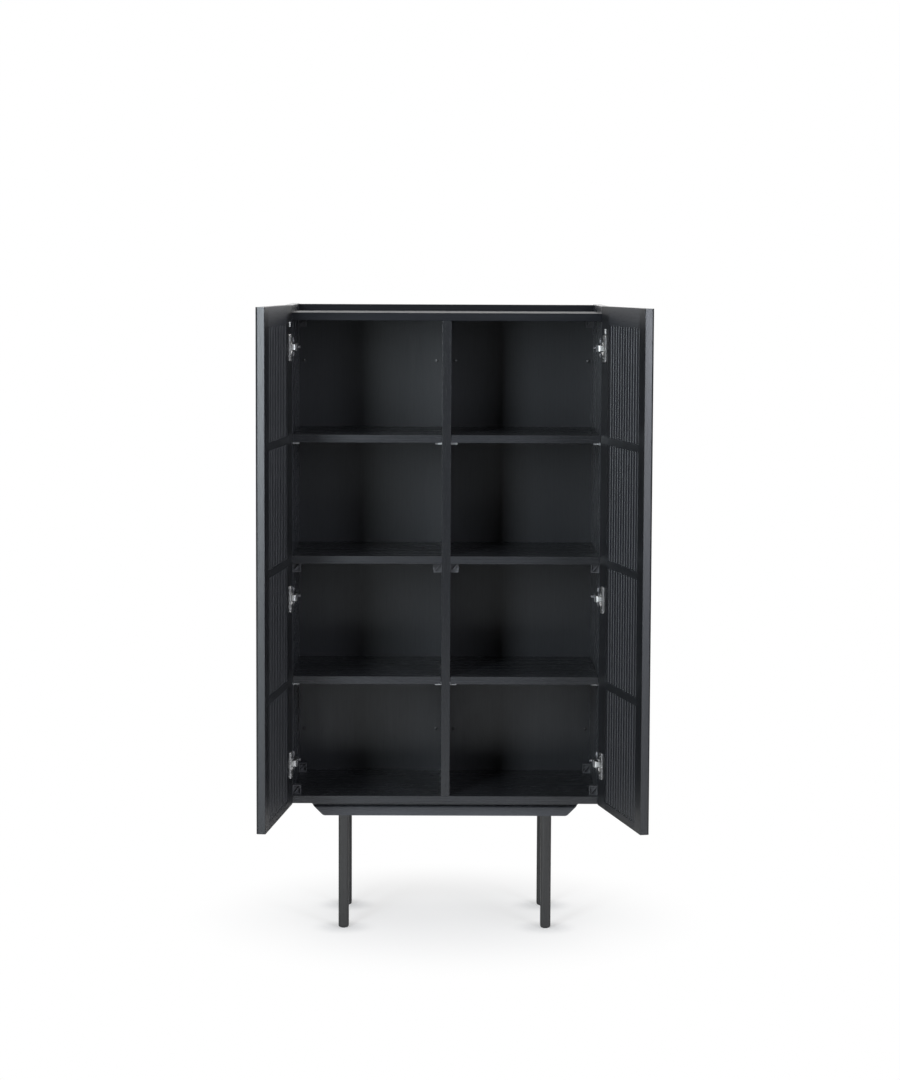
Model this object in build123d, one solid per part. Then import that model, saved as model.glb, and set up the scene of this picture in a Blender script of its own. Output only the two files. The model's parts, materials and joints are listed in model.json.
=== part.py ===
# Tall two-door storage cabinet on a leg frame, in millimetres.
# Origin: on the floor, under the middle of the carcass. +X to the right, +Y to the back, +Z up.
# The doors are drawn shut and then swung open to the angles given below.
from build123d import *
import os

# ---- carcass boards ----
cabinet_width = 800.0
carcass_depth = 390.0
board = 19.0
divider_thickness = 22.0
back_thickness = 8.0
compartment_height = 282.0
rows = 4
rim_height = 18.0
rim_set_down = 2.0
board_arris = 0.8
loose_shelf_clearance = 1.0

# ---- leg frame ----
leg_length = 289.0
leg_side = 26.0
leg_corner_radius = 7.0
leg_foot_radius = 6.0
leg_spacing_x = 510.0
leg_setback = 63.0
rail_height = 40.0
rail_overhang = 51.5
rail_corner_radius = 12.0
rail_nose_radius = 5.0
rail_gap_height = 14.5
rail_gap_depth = 9.5
side_rail_thickness = 20.0
side_rail_height = 30.0
glide_radius = 6.5
glide_stem_radius = 3.5
glide_thickness = 4.0
glide_stand_off = 1.5

# ---- doors ----
door_thickness = 22.0
door_gap = 2.0
door_reveal = 1.0
meeting_gap = 3.0
hinge_stile_width = 70.0
free_stile_width = 52.0
top_rail_height = 46.0
outer_edge_round = 5.5
inner_edge_round = 1.5
slat_pitch = 23.0
slat_width = 15.0
slat_recess = 0.5
slat_depth = 6.0
slat_chamfer = 2.6
left_open_angle = 96.5
right_open_angle = 101.5
pad_width = 9.0
pad_height = 13.0
pad_thickness = 1.6
pad_from_edge = 38.0
left_pad_above_hinge = 57.0
right_pad_above_hinge = 42.0

# ---- concealed hinges ----
pivot_from_outer_face = 7.5
pivot_in_front = 13.0
hinge_below_top = 103.5
hinge_above_bottom = 102.5
hinge_below_shelf = 103.5
cup_radius = 17.5
cup_wall = 0.8
cup_from_edge = 22.5
cup_cavity_depth = 14.6
cup_fit = 0.1
nose_half_height = 8.8
neck_side_clearance = 0.7
flange_height = 66.0
flange_width = 22.5
flange_from_edge = 18.5
flange_thickness = 2.5
pin_radius = 1.25
pin_running_clearance = 0.05
eye_radius = 2.5
moving_clearance = 0.3
neck_thickness = 2.4
neck_dip = 2.0
neck_bend_at = 6.0
neck_half_height = 6.5
neck_reach = 21.0
arm_half_height = 10.0
arm_thickness = 10.0
arm_length = 56.0
arm_setback = 1.0
arm_neck_overlap = 5.0
plate_thickness = 2.5
plate_length = 46.0
plate_setback = 14.0
wing_height = 50.0
wing_width = 12.0
wing_from_front = 37.0
plate_screw_spacing = 32.0
cup_screw_spacing = 48.0
cup_screw_bite = 12.0
cup_screw_head_radius = 3.4
cup_screw_head_height = 0.9

# ---- fittings ----
dowel_radius = 4.0
dowel_length = 30.0
dowel_in_side = 10.0
dowel_count = 3
dowel_edge_distance = 50.0
shelf_pin_radius = 2.5
shelf_pin_depth = 9.0
shelf_tab_length = 16.0
shelf_tab_width = 10.0
shelf_tab_height = 6.0
shelf_pin_inset = 37.0
block_width = 20.0
block_depth = 20.0
block_height = 23.0
block_setback = 20.0
screw_radius = 2.0
screw_head_radius = 4.0
screw_head_height = 1.6
screw_clearance = 0.1
screw_bite = 10.0
cap_radius = 5.0
cap_thickness = 1.2
cap_from_board = 12.0
cap_from_end = 110.0
back_screw_bite = 25.0
back_screw_spacing = 300.0
base_screw_radius = 2.25
base_screw_head_radius = 4.5
base_screw_head_height = 3.0
base_screw_bite = 13.0
base_counterbore_depth = 12.0
base_screw_from_leg = 70.0
stud_radius = 4.0
stud_in_leg = 26.0
stud_in_rail = 16.0

# ---- levels and planes that follow from them ----
half_width = cabinet_width / 2
inner_half = half_width - board
front = -carcass_depth / 2
rear = carcass_depth / 2
back_face = rear - back_thickness
leg_spacing_y = carcass_depth - 2 * leg_setback
carcass_bottom = leg_length + rail_height
floor_level = carcass_bottom + board
row_step = compartment_height + board
ceiling_level = floor_level + rows * compartment_height + (rows - 1) * board
tray_level = ceiling_level + board
carcass_top = tray_level + rim_height
shelf_tops = [floor_level + row * row_step for row in range(1, rows)]
fixed_shelf_top = shelf_tops[1]
loose_shelf_tops = [shelf_tops[0], shelf_tops[2]]

door_width = half_width - door_reveal - meeting_gap / 2
door_edge_x = half_width - door_reveal
door_inner_y = front - door_gap
door_outer_y = door_inner_y - door_thickness
pivot_x = half_width - pivot_from_outer_face
pivot_y = front - pivot_in_front
hinge_levels = [
    carcass_top - hinge_below_top,
    fixed_shelf_top - hinge_below_shelf,
    carcass_bottom + hinge_above_bottom,
]

ALONG_X = Vector(1, 0, 0)
ALONG_Y = Vector(0, 1, 0)
ALONG_Z = Vector(0, 0, 1)


# ---- small building blocks ----
def block(x, y, z):
    """A box given by its low and high limit along each axis."""
    sizes = [high - low for low, high in (x, y, z)]
    middle = [(high + low) / 2 for low, high in (x, y, z)]
    return Pos(*middle) * Box(*sizes)


def rod(start, direction, length, radius):
    """A round rod that runs from a point along a direction."""
    ends = (Align.CENTER, Align.CENTER, Align.MIN)
    return Plane(origin=start, z_dir=direction) * Cylinder(radius, length, align=ends)


def plan_shape(points, low, high):
    """An outline in plan, raised from one level to another."""
    outline = make_face(Polyline(*points, close=True))
    return Pos(0, 0, low) * extrude(outline, high - low, dir=(0, 0, 1))


def round_front(part, axis, radius=board_arris):
    """Takes the sharpness off a board's front edges that run along one axis."""
    edges = part.faces().sort_by(Axis.Y)[0].edges().filter_by(axis)
    return fillet(edges, radius)


def group(pieces):
    """Several separate solids that are kept under one name."""
    return Compound([solid for piece in pieces for solid in piece.solids()])


def mirrored(part):
    """The same piece for the other side of the cabinet."""
    return mirror(part, about=Plane.YZ)


def on_both_sides(pieces):
    return pieces + [mirrored(piece) for piece in pieces]


def swing(part, side):
    """Turns a shut right-hand door's piece to its open place, mirrored for the left door."""
    if side == "left":
        return mirrored(part).rotate(Axis((-pivot_x, pivot_y, 0), (0, 0, 1)), -left_open_angle)
    return part.rotate(Axis((pivot_x, pivot_y, 0), (0, 0, 1)), right_open_angle)


# ---- fastener places ----
def dowel_ys():
    """Places of the dowels along a board's end."""
    reach = carcass_depth - 2 * dowel_edge_distance
    return [front + dowel_edge_distance + reach * n / (dowel_count - 1) for n in range(dowel_count)]


def dowels(clearance=0.0):
    """Dowels that join the bottom and top panels to the right side panel."""
    start_x = half_width - board + dowel_in_side - dowel_length
    return [
        rod((start_x - clearance, y, level - board / 2), ALONG_X,
            dowel_length + 2 * clearance, dowel_radius + clearance)
        for level in (floor_level, tray_level)
        for y in dowel_ys()
    ]


def shelf_pin_places():
    """Pins under the loose shelves: the wall's x, the way into the wall, y and level."""
    places = []
    for top in loose_shelf_tops:
        for y in (front + shelf_pin_inset, back_face - shelf_pin_inset):
            places.append((inner_half, 1, y, top - board))
            places.append((divider_thickness / 2, -1, y, top - board))
    return places


def shelf_pin_rods(clearance=0.0):
    return [
        rod((wall, y, under - shelf_tab_height / 2), ALONG_X * way,
            shelf_pin_depth + clearance, shelf_pin_radius + clearance)
        for wall, way, y, under in shelf_pin_places()
    ]


def shelf_pins():
    """Metal shelf pins: a round peg in the wall and a flat tab under the shelf."""
    pins = []
    for peg, (wall, way, y, under) in zip(shelf_pin_rods(), shelf_pin_places()):
        inward = sorted((wall, wall - way * shelf_tab_length))
        across = (y - shelf_tab_width / 2, y + shelf_tab_width / 2)
        tab = block(inward, across, (under - shelf_tab_height, under))
        tab = fillet(tab.edges().filter_by(Axis.Y).sort_by(Axis.Z)[:2], shelf_tab_height / 4)
        pins.append(tab + peg)
    return pins


def corner_block_places():
    """Corner blocks on the right half: wall x, way into the wall, front y, low level."""
    near = front + block_setback
    far = back_face - block_setback - block_depth
    under_fixed = fixed_shelf_top - board - block_height
    places = []
    for y in (near, far):
        places.append((inner_half, 1, y, under_fixed))
        places.append((divider_thickness / 2, -1, y, under_fixed))
        places.append((inner_half, 1, y, floor_level))
    places.append((inner_half, 1, far, ceiling_level - block_height))
    return places


def corner_blocks():
    """Plastic blocks that tie the fixed boards together, each with a hole for its screw."""
    blocks = []
    for (wall, way, y, low), hole in zip(corner_block_places(), corner_block_shanks(screw_clearance)):
        inward = sorted((wall, wall - way * block_width))
        body = block(inward, (y, y + block_depth), (low, low + block_height))
        body = chamfer(body.edges().filter_by(Axis.Y), board_arris)
        blocks.append(body - hole)
    return blocks


def corner_block_shanks(clearance=0.0):
    return [
        rod((wall - way * block_width, y + block_depth / 2, low + block_height / 2), ALONG_X * way,
            block_width + screw_bite, screw_radius + clearance)
        for wall, way, y, low in corner_block_places()
    ]


def corner_block_screws():
    screws = []
    for shank, (wall, way, y, low) in zip(corner_block_shanks(), corner_block_places()):
        seat = (wall - way * block_width, y + block_depth / 2, low + block_height / 2)
        screws.append(shank + rod(seat, ALONG_X * -way, screw_head_height, screw_head_radius))
    return screws


def plate_screw_places():
    """Screws of the hinge mounting plates on the right side: y and level."""
    offsets = (-plate_screw_spacing / 2, plate_screw_spacing / 2)
    return [(front + wing_from_front, level + offset) for level in hinge_levels for offset in offsets]


def plate_screw_shanks(clearance=0.0):
    return [
        rod((inner_half - plate_thickness, y, z), ALONG_X,
            plate_thickness + screw_bite, screw_radius + clearance)
        for y, z in plate_screw_places()
    ]


def plate_screws():
    heads = [
        rod((inner_half - plate_thickness, y, z), -ALONG_X, screw_head_height, screw_head_radius)
        for y, z in plate_screw_places()
    ]
    return [shank + head for shank, head in zip(plate_screw_shanks(), heads)]


def back_screw_places():
    """Screws through the back panel into the divider and the fixed shelves: x and level."""
    middle = (floor_level + ceiling_level) / 2
    up_divider = [(0, middle + back_screw_spacing * step) for step in (-1.5, -0.5, 0.5, 1.5)]
    shelf_middle = fixed_shelf_top - board / 2
    along_shelves = [(x * inner_half / 2, shelf_middle) for x in (-1, 1)]
    return up_divider + along_shelves


def back_screw_shanks(clearance=0.0):
    return [
        rod((x, rear, z), -ALONG_Y, back_thickness + back_screw_bite, screw_radius + clearance)
        for x, z in back_screw_places()
    ]


def back_screw_heads(clearance=0.0):
    """Heads of the back screws, let in flush with the back panel."""
    return [
        rod((x, rear, z), -ALONG_Y, screw_head_height, screw_head_radius + clearance)
        for x, z in back_screw_places()
    ]


def back_screws():
    return [shank + head for shank, head in zip(back_screw_shanks(), back_screw_heads())]


def base_screw_places():
    """Screws up through the front and rear rails: x and y."""
    reach = leg_spacing_x / 2 - base_screw_from_leg
    return [(x * reach, y * leg_spacing_y / 2) for x in (-1, 1) for y in (-1, 1)]


def base_screw_cuts():
    """Holes for the base screws: counterbore from below, then the shank's hole."""
    cuts = []
    for x, y in base_screw_places():
        seat = leg_length + base_counterbore_depth
        bore = base_screw_head_radius + screw_clearance
        shank = carcass_bottom + base_screw_bite - seat
        cuts.append(rod((x, y, leg_length), ALONG_Z, base_counterbore_depth, bore))
        cuts.append(rod((x, y, seat), ALONG_Z, shank, base_screw_radius + screw_clearance))
    return cuts


def base_screws():
    seat = leg_length + base_counterbore_depth
    shank = carcass_bottom + base_screw_bite - seat
    return [
        rod((x, y, seat), ALONG_Z, shank, base_screw_radius)
        + rod((x, y, seat), -ALONG_Z, base_screw_head_height, base_screw_head_radius)
        for x, y in base_screw_places()
    ]


# ---- carcass ----
def right_side_panel():
    """Side panel, which rises past the top panel as the tray's rim."""
    panel = block((inner_half, half_width), (front, rear), (carcass_bottom, carcass_top))
    panel = fillet(panel.faces().sort_by(Axis.Z)[-1].edges().filter_by(Axis.Y), board_arris)
    panel = round_front(panel, Axis.Z)
    holes = dowels(screw_clearance) + shelf_pin_rods(screw_clearance)
    holes += corner_block_shanks(screw_clearance) + plate_screw_shanks(screw_clearance)
    return panel - holes


def bottom_panel():
    panel = block((-inner_half, inner_half), (front, rear), (carcass_bottom, floor_level))
    panel = round_front(panel, Axis.X)
    return panel - on_both_sides(dowels(screw_clearance)) - base_screw_cuts()


def top_panel():
    panel = block((-inner_half, inner_half), (front, rear - board), (ceiling_level, tray_level))
    panel = round_front(panel, Axis.X)
    return panel - on_both_sides(dowels(screw_clearance))


def tray_back_rim():
    """Strip behind the top panel, which rises above it to just below the side panels' tops."""
    top = carcass_top - rim_set_down
    strip = block((-inner_half, inner_half), (rear - board, rear), (ceiling_level, top))
    return fillet(strip.faces().sort_by(Axis.Z)[-1].edges().filter_by(Axis.X), board_arris)


def centre_divider():
    half = divider_thickness / 2
    panel = block((-half, half), (front, back_face), (floor_level, ceiling_level))
    panel = round_front(panel, Axis.Z)
    holes = on_both_sides(shelf_pin_rods(screw_clearance) + corner_block_shanks(screw_clearance))
    return panel - holes - back_screw_shanks(screw_clearance)


def back_panel():
    panel = block((-inner_half, inner_half), (back_face, rear), (floor_level, ceiling_level))
    return panel - back_screw_shanks(screw_clearance) - back_screw_heads(screw_clearance)


def right_shelf(top, clearance):
    """A shelf of the right-hand column, with the given room at its two ends."""
    span = (divider_thickness / 2 + clearance, inner_half - clearance)
    shelf = block(span, (front, back_face), (top - board, top))
    shelf = round_front(shelf, Axis.X)
    return shelf - back_screw_shanks(screw_clearance)


def back_screw_caps():
    """Round caps on the back panel beside the side panels and the divider."""
    xs = (divider_thickness / 2 + cap_from_board, inner_half - cap_from_board)
    levels = (floor_level + cap_from_end, ceiling_level - cap_from_end)
    return [rod((x, back_face, z), -ALONG_Y, cap_thickness, cap_radius) for x in xs for z in levels]


# ---- leg frame ----
def front_base_rail():
    """Rail under the front of the carcass, with ends that slope in towards the floor.

    Its front face stops short of the carcass, which leaves a shadow gap above the face.
    """
    bottom_half = leg_spacing_x / 2 + rail_overhang
    top_half = bottom_half + rail_height
    outline = make_face(Polyline(
        (-top_half, carcass_bottom), (-bottom_half, leg_length),
        (bottom_half, leg_length), (top_half, carcass_bottom), close=True))
    corners = outline.vertices().sort_by(Axis.Y)[:2]
    outline = fillet(corners, rail_corner_radius)
    rail = extrude(Plane.XZ * outline, leg_side / 2, both=True)
    rail = Pos(0, -leg_spacing_y / 2, 0) * rail
    face = -leg_spacing_y / 2 - leg_side / 2
    ledge = carcass_bottom - rail_gap_height
    rail -= block((-top_half, top_half), (face, face + rail_gap_depth), (ledge, carcass_bottom))
    nose = rail.edges().filter_by(Axis.X).sort_by_distance((0, face, ledge))[0]
    rail = fillet(nose, rail_nose_radius)
    return rail - base_screw_cuts() - leg_stud_rods(screw_clearance)


def right_side_rail():
    """Rail between the front and rear rails, over the right-hand legs."""
    middle = leg_spacing_x / 2
    reach = leg_spacing_y / 2 - leg_side / 2
    across = (middle - side_rail_thickness / 2, middle + side_rail_thickness / 2)
    return block(across, (-reach, reach), (carcass_bottom - side_rail_height, carcass_bottom))


def leg_places():
    return [(x * leg_spacing_x / 2, y * leg_spacing_y / 2) for x in (-1, 1) for y in (-1, 1)]


def leg_stud_rods(clearance=0.0):
    """Threaded studs that hold the legs up in the rails."""
    return [
        rod((x, y, leg_length - stud_in_leg - clearance), ALONG_Z,
            stud_in_leg + stud_in_rail + 2 * clearance, stud_radius + clearance)
        for x, y in leg_places()
    ]


def leg(x, y):
    """Square leg with rounded corners and a rounded foot, bored for its stud and glide."""
    half = leg_side / 2
    post = block((x - half, x + half), (y - half, y + half), (glide_stand_off, leg_length))
    post = fillet(post.edges().filter_by(Axis.Z), leg_corner_radius)
    post = fillet(post.faces().sort_by(Axis.Z)[0].edges(), min(leg_foot_radius, leg_corner_radius - 0.5))
    glide_hole = rod((x, y, 0), ALONG_Z, glide_thickness + screw_clearance,
                     glide_stem_radius + screw_clearance)
    return post - glide_hole - leg_stud_rods(screw_clearance)


def foot_glides():
    """Plastic glides under the legs: a disc that stands on the floor and a short stem."""
    return [
        rod((x, y, 0), ALONG_Z, glide_stand_off, glide_radius)
        + rod((x, y, 0), ALONG_Z, glide_thickness, glide_stem_radius)
        for x, y in leg_places()
    ]


# ---- doors, drawn as the right-hand door shut ----
def door_block(across, through, up):
    """A box in the door: distance from the hinge edge, from the inner face, and level."""
    x = (door_edge_x - across[1], door_edge_x - across[0])
    y = (door_inner_y - through[1], door_inner_y - through[0])
    return block(x, y, up)


def bored_rod(across, level, start, depth, radius):
    """A round rod that runs into the door's thickness."""
    return rod((door_edge_x - across, door_inner_y - start, level), -ALONG_Y, depth, radius)


def round_outer_edge(stile, edge_x):
    """Rounds the stile's long outer corner at the door's edge."""
    corner = stile.edges().filter_by(Axis.Z).sort_by_distance((edge_x, door_outer_y, carcass_bottom))[0]
    return fillet(corner, outer_edge_round)


def round_inner_edge(stile, edge_x):
    corner = stile.edges().filter_by(Axis.Z).sort_by_distance((edge_x, door_inner_y, carcass_bottom))[0]
    return fillet(corner, inner_edge_round)


def hinge_stile():
    """Upright at the hinge side, bored for the three hinge cups and their screws."""
    stile = door_block((0, hinge_stile_width), (0, door_thickness), (carcass_bottom, carcass_top))
    stile = round_outer_edge(stile, door_edge_x)
    stile = round_inner_edge(stile, door_edge_x)
    for level in hinge_levels:
        stile -= cup_outside(level, cup_fit)
    return stile - cup_screw_shanks(screw_clearance)


def free_stile():
    """Upright at the meeting edge."""
    edges = (door_width - free_stile_width, door_width)
    stile = door_block(edges, (0, door_thickness), (carcass_bottom, carcass_top))
    stile = round_outer_edge(stile, door_edge_x - door_width)
    return round_inner_edge(stile, door_edge_x - door_width)


def door_rail(low, high):
    """A crosspiece between the two stiles."""
    edges = (hinge_stile_width, door_width - free_stile_width)
    return door_block(edges, (0, door_thickness), (low, high))


def mid_rails():
    """Crosspieces that lie in front of the three shelves."""
    return [door_rail(top - board, top) for top in shelf_tops]


def slat_starts():
    """Where each slat of a panel begins: the first lies against the hinge stile."""
    opening = door_width - hinge_stile_width - free_stile_width
    count = int((opening + slat_pitch - slat_width) // slat_pitch)
    return [hinge_stile_width + slat_pitch * n for n in range(count)]


def slatted_profile(face, ground):
    """Outline of one face of the panel: slats that stand from the ground up to the face."""
    edge = slat_chamfer if face > ground else -slat_chamfer
    points = []
    for start in slat_starts():
        end = start + slat_width
        points += [(start, ground), (start, face - edge), (start + slat_chamfer, face)]
        points += [(end - slat_chamfer, face), (end, face - edge), (end, ground)]
    return points


def slatted_panel(low, high):
    """Panel of upright slats on both faces, which fills the frame between two rails."""
    far = door_width - free_stile_width
    inner_ground = slat_recess + slat_depth
    outer_ground = door_thickness - inner_ground
    inner = slatted_profile(slat_recess, inner_ground) + [(far, inner_ground)]
    outer = slatted_profile(door_thickness - slat_recess, outer_ground) + [(far, outer_ground)]
    outline = [(door_edge_x - u, door_inner_y - v) for u, v in inner + outer[::-1]]
    return plan_shape(outline, low, high)


def panel_limits():
    """Low and high level of each slatted panel, from the bottom up."""
    lows = [floor_level] + shelf_tops
    highs = [top - board for top in shelf_tops] + [carcass_top - top_rail_height]
    return list(zip(lows, highs))


def door_pad(above_hinge):
    """Small stick-on felt pad on the hinge stile above the top hinge."""
    across = (pad_from_edge - pad_width / 2, pad_from_edge + pad_width / 2)
    low = hinge_levels[0] + above_hinge - pad_height / 2
    pad = door_block(across, (-pad_thickness, 0), (low, low + pad_height))
    return fillet(pad.edges().filter_by(Axis.Y), pad_width / 3)


# ---- hinges, drawn on the right-hand side with the door shut ----
def nose_near_wall():
    """Inner wall of the cup's nose, measured from the door's hinge edge."""
    return pivot_from_outer_face - door_reveal - eye_radius - moving_clearance


def cup_outside(level, fit=0.0):
    """Space that the hinge cup fills in the stile."""
    depth = cup_cavity_depth + cup_wall + fit
    bowl = bored_rod(cup_from_edge, level, 0, depth, cup_radius + fit)
    across = (nose_near_wall() - cup_wall - fit, cup_from_edge)
    half = nose_half_height + fit
    return bowl + door_block(across, (0, depth), (level - half, level + half))


def hinge_cup(level):
    """Cup with its flange, and the pin that the arm's eye turns on."""
    across = (flange_from_edge, flange_from_edge + flange_width)
    half = flange_height / 2
    flange = door_block(across, (-flange_thickness, 0), (level - half, level + half))
    flange = fillet(flange.edges().filter_by(Axis.Y), flange_width / 4)
    depth = cup_cavity_depth + flange_thickness
    cavity = bored_rod(cup_from_edge, level, -flange_thickness, depth, cup_radius - cup_wall)
    half_window = neck_half_height + neck_side_clearance
    cavity += door_block((nose_near_wall(), cup_from_edge), (-flange_thickness, cup_cavity_depth),
                         (level - half_window, level + half_window))
    pin = rod((pivot_x, pivot_y, level - nose_half_height), ALONG_Z, 2 * nose_half_height, pin_radius)
    return cup_outside(level) + flange - cavity + pin - cup_screw_shanks(screw_clearance)


def cup_screw_places():
    offsets = (-cup_screw_spacing / 2, cup_screw_spacing / 2)
    across = flange_from_edge + flange_width / 2
    return [(across, level + offset) for level in hinge_levels for offset in offsets]


def cup_screw_shanks(clearance=0.0):
    return [
        bored_rod(across, level, -flange_thickness, flange_thickness + cup_screw_bite,
                  screw_radius + clearance)
        for across, level in cup_screw_places()
    ]


def cup_screws():
    heads = [
        bored_rod(across, level, -flange_thickness - cup_screw_head_height, cup_screw_head_height,
                  cup_screw_head_radius)
        for across, level in cup_screw_places()
    ]
    return [shank + head for shank, head in zip(cup_screw_shanks(), heads)]


def hinge_arm(level):
    """Arm on the mounting plate, with a bent neck whose eye turns on the cup's pin."""
    half = neck_thickness / 2
    back_end = pivot_in_front + arm_setback + arm_neck_overlap
    bend = [
        (0, half), (neck_bend_at, half - neck_dip), (neck_reach - half, half - neck_dip),
        (neck_reach - half, back_end), (neck_reach + half, back_end),
        (neck_reach + half, -half - neck_dip), (neck_bend_at, -half - neck_dip), (0, -half),
    ]
    outline = [(pivot_x - inward, pivot_y + back) for inward, back in bend]
    neck = plan_shape(outline, level - neck_half_height, level + neck_half_height)
    eye = rod((pivot_x, pivot_y, level - neck_half_height), ALONG_Z, 2 * neck_half_height, eye_radius)
    hole = rod((pivot_x, pivot_y, level - nose_half_height), ALONG_Z, 2 * nose_half_height,
               pin_radius + pin_running_clearance)
    body = block(
        (inner_half - plate_thickness - arm_thickness, inner_half - plate_thickness),
        (front + arm_setback, front + arm_setback + arm_length),
        (level - arm_half_height, level + arm_half_height))
    return body + neck + eye - hole


def hinge_plate(level):
    """Mounting plate with two wings, screwed to the side panel."""
    across = (inner_half - plate_thickness, inner_half)
    foot = block(across, (front + plate_setback, front + plate_setback + plate_length),
                 (level - arm_half_height, level + arm_half_height))
    wing_y = (front + wing_from_front - wing_width / 2, front + wing_from_front + wing_width / 2)
    wings = block(across, wing_y, (level - wing_height / 2, level + wing_height / 2))
    wings = fillet(wings.edges().filter_by(Axis.X), wing_width / 4)
    return foot + wings - plate_screw_shanks(screw_clearance)


# ---- the assembly ----
def door_pieces(side, pad_above_hinge):
    """All pieces of one door, by name, in their open place."""
    pieces = {
        "hinge_stile": hinge_stile(),
        "free_stile": free_stile(),
        "top_rail": door_rail(carcass_top - top_rail_height, carcass_top),
        "bottom_rail": door_rail(carcass_bottom, floor_level),
        "mid_rails": group(mid_rails()),
        "hinge_cups": group([hinge_cup(level) for level in hinge_levels]),
        "cup_screws": group(cup_screws()),
        "felt_pad": door_pad(pad_above_hinge),
    }
    for number, (low, high) in enumerate(panel_limits(), start=1):
        pieces[f"slatted_panel_{number}"] = slatted_panel(low, high)
    return {f"{side}_door_{name}": swing(piece, side) for name, piece in pieces.items()}


def carcass_pieces():
    side = right_side_panel()
    fixed = right_shelf(fixed_shelf_top, 0)
    pieces = {
        "left_side_panel": mirrored(side),
        "right_side_panel": side,
        "bottom_panel": bottom_panel(),
        "top_panel": top_panel(),
        "tray_back_rim": tray_back_rim(),
        "centre_divider": centre_divider(),
        "back_panel": back_panel(),
        "left_fixed_shelf": mirrored(fixed),
        "right_fixed_shelf": fixed,
        "carcass_dowels": group(on_both_sides(dowels())),
        "shelf_pins": group(on_both_sides(shelf_pins())),
        "corner_blocks": group(on_both_sides(corner_blocks())),
        "corner_block_screws": group(on_both_sides(corner_block_screws())),
        "back_screw_caps": group(on_both_sides(back_screw_caps())),
        "back_panel_screws": group(back_screws()),
    }
    for name, top in zip(("lower", "upper"), loose_shelf_tops):
        shelf = right_shelf(top, loose_shelf_clearance)
        pieces[f"{name}_left_shelf"] = mirrored(shelf)
        pieces[f"{name}_right_shelf"] = shelf
    return pieces


def leg_frame_pieces():
    rail = front_base_rail()
    pieces = {
        "front_base_rail": rail,
        "rear_base_rail": mirror(rail, about=Plane.XZ),
        "side_base_rails": group(on_both_sides([right_side_rail()])),
        "base_screws": group(base_screws()),
        "leg_studs": group(leg_stud_rods()),
        "foot_glides": group(foot_glides()),
    }
    names = ("front_left", "rear_left", "front_right", "rear_right")
    for name, (x, y) in zip(names, leg_places()):
        pieces[f"{name}_leg"] = leg(x, y)
    return pieces


def hinge_pieces():
    return {
        "hinge_arms": group(on_both_sides([hinge_arm(level) for level in hinge_levels])),
        "hinge_plates": group(on_both_sides([hinge_plate(level) for level in hinge_levels])),
        "hinge_plate_screws": group(on_both_sides(plate_screws())),
    }


assembly = carcass_pieces() | leg_frame_pieces() | hinge_pieces()
assembly |= door_pieces("left", left_pad_above_hinge)
assembly |= door_pieces("right", right_pad_above_hinge)

os.makedirs("parts", exist_ok=True)
for name, piece in assembly.items():
    export_step(piece, f"parts/{name}.step")
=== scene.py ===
import bpy
import bmesh
import itertools
import json
import math
from mathutils import Matrix, Vector, noise


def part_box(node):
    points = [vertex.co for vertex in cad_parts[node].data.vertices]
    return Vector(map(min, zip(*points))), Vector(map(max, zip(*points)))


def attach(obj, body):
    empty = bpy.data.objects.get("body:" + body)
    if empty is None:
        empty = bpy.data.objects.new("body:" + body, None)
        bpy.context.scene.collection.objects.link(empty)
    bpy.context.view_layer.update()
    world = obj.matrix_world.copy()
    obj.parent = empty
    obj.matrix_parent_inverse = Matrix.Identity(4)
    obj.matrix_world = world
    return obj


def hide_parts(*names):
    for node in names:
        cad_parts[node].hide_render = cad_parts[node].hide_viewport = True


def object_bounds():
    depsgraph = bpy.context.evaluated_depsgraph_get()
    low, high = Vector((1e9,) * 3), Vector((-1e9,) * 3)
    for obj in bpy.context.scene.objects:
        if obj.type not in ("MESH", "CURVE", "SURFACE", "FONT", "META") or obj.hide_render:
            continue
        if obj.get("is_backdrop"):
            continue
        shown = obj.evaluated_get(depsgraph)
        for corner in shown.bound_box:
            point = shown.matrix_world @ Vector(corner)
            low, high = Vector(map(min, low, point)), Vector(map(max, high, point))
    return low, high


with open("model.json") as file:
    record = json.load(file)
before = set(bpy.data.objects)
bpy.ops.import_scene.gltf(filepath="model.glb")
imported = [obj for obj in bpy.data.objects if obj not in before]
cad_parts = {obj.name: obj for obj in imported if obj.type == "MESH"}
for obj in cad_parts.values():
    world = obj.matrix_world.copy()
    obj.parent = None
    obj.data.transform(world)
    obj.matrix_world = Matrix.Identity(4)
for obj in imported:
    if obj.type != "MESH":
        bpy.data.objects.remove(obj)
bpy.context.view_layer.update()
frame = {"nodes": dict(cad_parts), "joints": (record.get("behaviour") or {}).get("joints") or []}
nodes = frame["nodes"]


# ---- Studio ----
# A pale floor under a white surround, with a wide soft box overhead and a stack of three in front on
# each side, dimmer low down. Nothing here belongs to the cabinet, and the front is left dark.
scene = bpy.context.scene
scene.view_settings.view_transform = "Standard"
cabinet_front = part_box("bottom_panel")[0].y


def add_camera():
    """Stands in front of the cabinet, a little above its top, with a long lens."""
    yaw, pitch, roll = (math.radians(a) for a in (0.342, -5.368, 0.236))
    off_centre, stand_off, eye_height = -0.0332, 7.1656, 1.6643
    ahead = Vector((math.sin(yaw) * math.cos(pitch), math.cos(yaw) * math.cos(pitch), math.sin(pitch)))
    level = Vector((math.cos(yaw), -math.sin(yaw), 0))
    above = level.cross(ahead)
    side = level * math.cos(roll) + above * math.sin(roll)
    up = above * math.cos(roll) - level * math.sin(roll)
    camera = bpy.data.objects.new("camera", bpy.data.cameras.new("camera"))
    camera.data.sensor_width = 36.0
    camera.data.lens = 96.8
    turn = Matrix((side, up, -ahead)).transposed().to_4x4()
    camera.matrix_world = Matrix.Translation((off_centre, cabinet_front - stand_off, eye_height)) @ turn
    scene.collection.objects.link(camera)
    scene.camera = camera


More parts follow.
